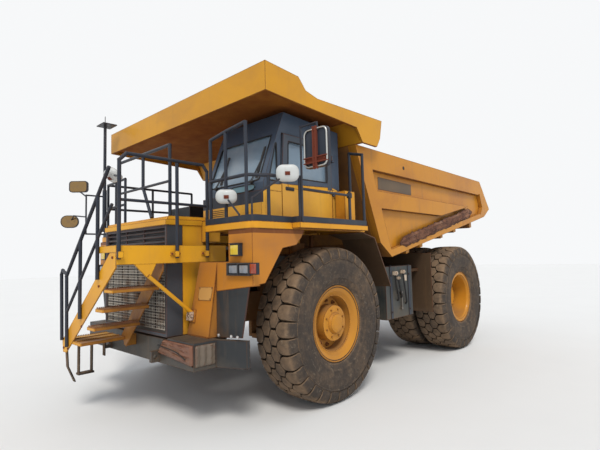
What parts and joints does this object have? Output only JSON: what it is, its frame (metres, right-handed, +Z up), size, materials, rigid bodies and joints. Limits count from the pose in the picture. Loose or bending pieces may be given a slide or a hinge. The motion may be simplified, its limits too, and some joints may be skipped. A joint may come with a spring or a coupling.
{
  "type": "rigid mining dump truck",
  "caption": "Rigid dump truck with twin rear wheels, an offset cab, a diagonal front stair and a tipping bed whose canopy covers the cab.",
  "frame": {"origin": "on the ground, at the middle of the truck's length and width", "axes": "+Z up, the truck faces -Y, its left cab side is +X"},
  "size_m": [5.396, 9.35, 4.64],
  "materials": {
    "paint": "worn warm yellow paint with dust",
    "dusty_paint": "dusty orange-brown paint",
    "dark_paint": "dark slate paint, worn",
    "tyre": "dusty black rubber",
    "rubber": "dusty rubber",
    "steel": "dull bare steel",
    "chrome": "hard chrome rod",
    "iron": "oily cast iron",
    "glass": "tinted window glass",
    "lamp": "clear lamp lenses",
    "trim": "dark moulded plastic and vinyl"
  },
  "bodies": {
    "chassis": {"frame": "dusty_paint", "bumper": "dark_paint", "radiator_housing": "dark_paint", "radiator_mesh": "steel", "louvre_grille": "dark_paint", "hood": "paint", "engine": "iron", "front_landing": "paint", "stair": "paint", "hanging_steps": "rubber", "fenders": "paint", "cab_deck": "paint", "right_deck": "paint", "mudguards": "dark_paint", "lamps": "lamp", "cab_shell": "dark_paint", "cab_skirt": "paint", "cab_glass": "glass", "operator_chair": "trim", "dash_console": "trim", "landing_rails": "dark_paint", "stair_rails": "dark_paint", "cab_rails": "dark_paint", "mirrors": "dark_paint", "mast": "dark_paint", "tanks": "dark_paint", "suspension_struts": "dusty_paint", "rear_axle": "dusty_paint"},
    "knuckle_left": {"knuckle_left": "dusty_paint"},
    "knuckle_right": {"knuckle_right": "dusty_paint"},
    "tie_rod": {"tie_rod": "dark_paint"},
    "wheel_front_left": {"tyre_front_left": "tyre", "rim_front_left": "paint"},
    "wheel_front_right": {"tyre_front_right": "tyre", "rim_front_right": "paint"},
    "wheels_rear_left": {"tyres_rear_left": "tyre", "rims_rear_left": "paint"},
    "wheels_rear_right": {"tyres_rear_right": "tyre", "rims_rear_right": "paint"},
    "bed": {"bed_tub": "paint", "canopy": "paint"},
    "hoist_barrels": {"hoist_barrels": "paint"},
    "hoist_stages": {"hoist_stages": "chrome"},
    "hoist_rods": {"hoist_rods": "chrome"},
    "cab_door": {"cab_door": "paint", "door_glass": "glass"},
    "side_bar": {"side_bar": "dark_paint"}
  },
  "joints": [
    {"name": "steer_left", "type": "hinge", "parent": "chassis", "child": "knuckle_left", "pos_m": [1.29, -1.925, 1.085], "axis": [0, 0, 1], "range_deg": [-39, 39]},
    {"name": "steer_right", "type": "hinge", "parent": "chassis", "child": "knuckle_right", "pos_m": [-1.29, -1.925, 1.085], "axis": [0, 0, 1], "range_deg": [-39, 39]},
    {"name": "tie_rod_swing", "type": "hinge", "parent": "knuckle_left", "child": "tie_rod", "pos_m": [1.29, -1.405, 0.93], "axis": [0, 0, 1], "range_deg": [-39, 39]},
    {"name": "wheel_front_left_spin", "type": "hinge", "parent": "knuckle_left", "child": "wheel_front_left", "pos_m": [1.79, -1.925, 1.085], "axis": [1, 0, 0], "continuous": true},
    {"name": "wheel_front_right_spin", "type": "hinge", "parent": "knuckle_right", "child": "wheel_front_right", "pos_m": [-1.79, -1.925, 1.085], "axis": [1, 0, 0], "continuous": true},
    {"name": "wheels_rear_left_spin", "type": "hinge", "parent": "chassis", "child": "wheels_rear_left", "pos_m": [1.825, 2.37, 1.085], "axis": [1, 0, 0], "continuous": true},
    {"name": "wheels_rear_right_spin", "type": "hinge", "parent": "chassis", "child": "wheels_rear_right", "pos_m": [-1.825, 2.37, 1.085], "axis": [1, 0, 0], "continuous": true},
    {"name": "bed_tip", "type": "hinge", "parent": "chassis", "child": "bed", "pos_m": [0, 3.175, 1.95], "axis": [-1, 0, 0], "range_deg": [0, 48]},
    {"name": "hoist_swing", "type": "hinge", "parent": "chassis", "child": "hoist_barrels", "pos_m": [0, 1.075, 0.82], "axis": [-1, 0, 0], "range_deg": [0, 5.77]},
    {"name": "hoist_stage_slide", "type": "slide", "parent": "hoist_barrels", "child": "hoist_stages", "axis": [0, 0.286, 0.9582], "range_m": [0, 0.7041]},
    {"name": "hoist_rod_slide", "type": "slide", "parent": "hoist_stages", "child": "hoist_rods", "axis": [0, 0.286, 0.9582], "range_m": [0, 0.7041]},
    {"name": "cab_door_swing", "type": "hinge", "parent": "chassis", "child": "cab_door", "pos_m": [1.872, -1.709, 2.9], "axis": [0, 0, 1], "range_deg": [0, 70]},
    {"name": "side_bar_swing", "type": "hinge", "parent": "chassis", "child": "side_bar", "pos_m": [2.2, -1.755, 2.9], "axis": [0, 0, 1], "range_deg": [0, 70]}
  ],
  "couplings": [
    {"joint": "steer_right", "follows": "steer_left", "ratio": 1},
    {"joint": "tie_rod_swing", "follows": "steer_left", "ratio": -1},
    {"joint": "hoist_swing", "follows": "bed_tip", "ratio": 0.12},
    {"joint": "hoist_stage_slide", "follows": "bed_tip", "m_per_rad": 0.8381},
    {"joint": "hoist_rod_slide", "follows": "bed_tip", "m_per_rad": 0.8381},
    {"joint": "side_bar_swing", "follows": "cab_door_swing", "ratio": 1}
  ]
}
